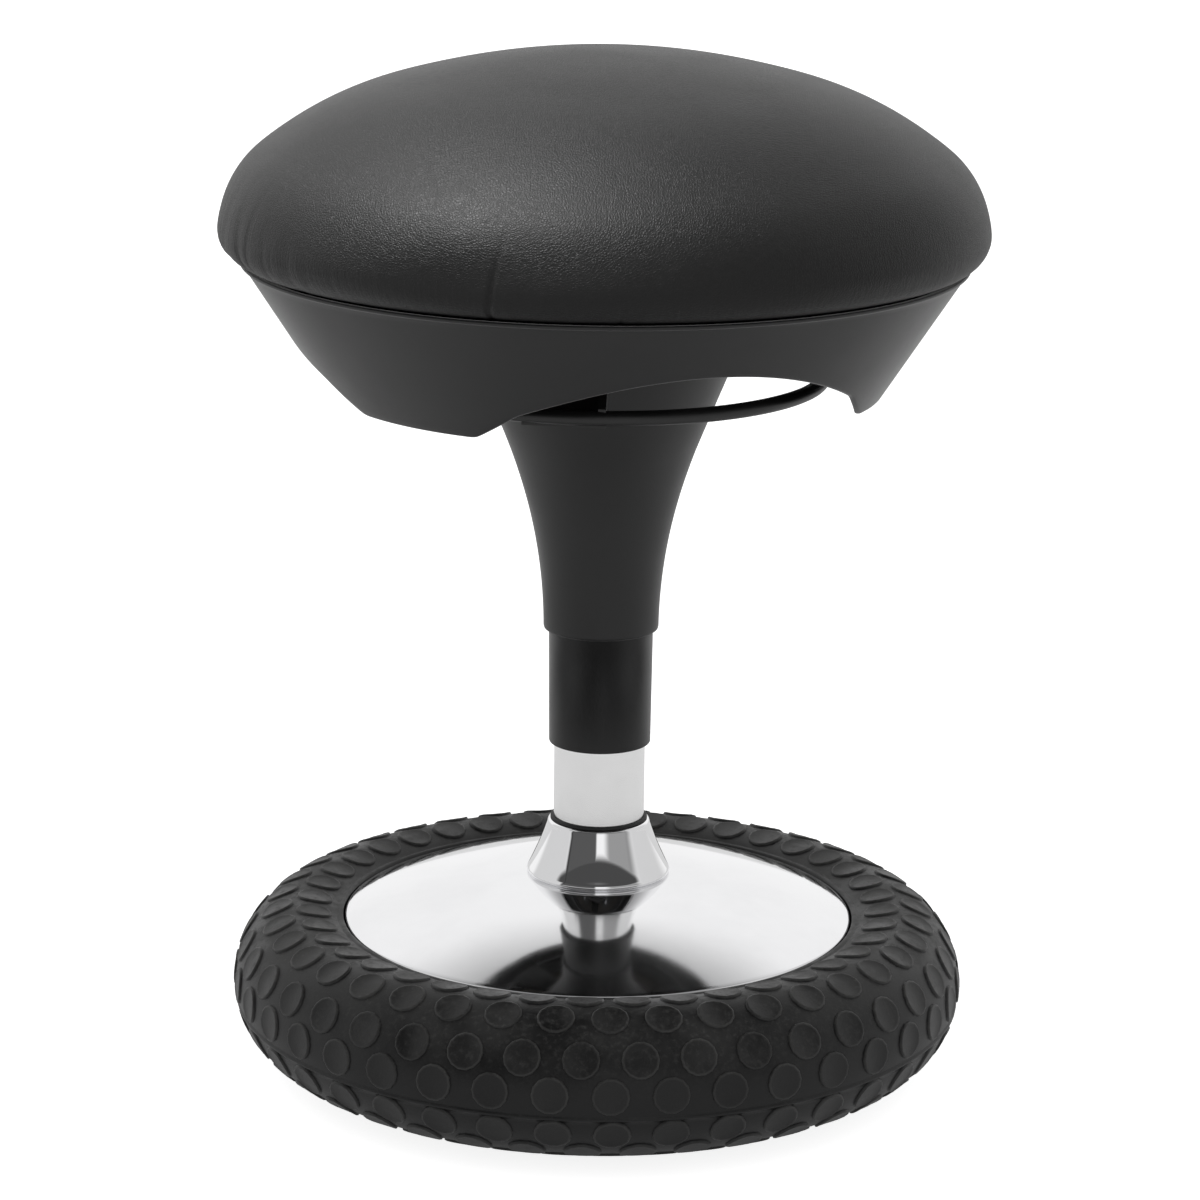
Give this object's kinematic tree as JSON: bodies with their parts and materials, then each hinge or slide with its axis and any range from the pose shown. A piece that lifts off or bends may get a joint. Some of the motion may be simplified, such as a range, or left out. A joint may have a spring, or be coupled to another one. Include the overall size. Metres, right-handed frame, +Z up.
{
  "type": "wobble stool",
  "caption": "Height-adjustable wobble stool: round padded seat on a three-lobed shell with a ring lever, a telescopic column and a tyre-shaped rocking foot.",
  "frame": {"origin": "centre of the circle on which the foot stands, in the floor plane, on the stool's axis", "axes": "+Z up along the column, -Y towards the front that the picture shows, +X to its right"},
  "size_m": [0.413, 0.4128, 0.5645],
  "materials": {
    "tyre_rubber": "matte moulded rubber",
    "core_plastic": "glass-filled moulding",
    "polished_steel": "mirror polished",
    "chrome_trim": "mirror chrome",
    "chrome_tube": "bright drawn tube",
    "seal_rubber": "soft black",
    "cast_iron": "raw casting",
    "black_plastic": "satin black",
    "shell_plastic": "fine-grained black",
    "lever_plastic": "semi-gloss black",
    "bush_plastic": "natural",
    "spring_steel": "ground",
    "zinc_steel": "zinc plated",
    "black_steel": "black powder coat",
    "board_ply": "plywood",
    "foam": "open-cell foam",
    "black_leather": "fine-grained black"
  },
  "bodies": {
    "base": {"tyre": "tyre_rubber", "wheel_core": "core_plastic", "base_dome": "polished_steel", "column_bell": "chrome_trim", "column_seal": "seal_rubber", "counterweight": "cast_iron", "foot_pan": "black_plastic", "pan_screws": "zinc_steel", "web_nuts": "zinc_steel", "column_tube": "chrome_tube", "guide_bush": "bush_plastic", "bearing_washer_lower": "spring_steel", "bearing_balls": "spring_steel"},
    "rod": {"bearing_washer_upper": "spring_steel", "piston_rod": "spring_steel", "rod_clip": "zinc_steel"},
    "sleeve": {"mid_sleeve": "black_plastic"},
    "seat": {"gas_cylinder": "black_steel", "trumpet_cover": "black_plastic", "taper_socket": "black_steel", "seat_bracket": "black_steel", "bracket_bolts": "zinc_steel", "tee_nuts": "zinc_steel", "seat_shell": "shell_plastic", "shell_screws": "zinc_steel", "seat_board": "board_ply", "foam_core": "foam", "cushion_cover": "black_leather"},
    "lever": {"lever_spider": "black_plastic", "release_ring": "lever_plastic"},
    "pin": {"release_pin": "spring_steel"}
  },
  "joints": [
    {"name": "seat_swivel", "type": "hinge", "parent": "base", "child": "rod", "pos_m": [0, 0, 0.05], "axis": [0, 0, 1], "continuous": true},
    {"name": "seat_height", "type": "slide", "parent": "rod", "child": "seat", "axis": [0, 0, 1], "range_m": [-0.105, 0]},
    {"name": "sleeve_slide", "type": "slide", "parent": "base", "child": "sleeve", "axis": [0, 0, 1], "range_m": [-0.0425, 0]},
    {"name": "lever_tilt", "type": "hinge", "parent": "seat", "child": "lever", "pos_m": [-0.00608, -0.03447, 0.45], "axis": [-0.9848, 0.1736, 0], "range_deg": [0, 4], "stiffness_Nm_per_rad": 2, "springref_deg": -5.73},
    {"name": "pin_press", "type": "slide", "parent": "seat", "child": "pin", "axis": [0, 0, 1], "range_m": [-0.003, 0]}
  ],
  "couplings": [
    {"joint": "sleeve_slide", "follows": "seat_height", "ratio": 0.4},
    {"joint": "pin_press", "follows": "lever_tilt", "m_per_rad": -0.035}
  ]
}
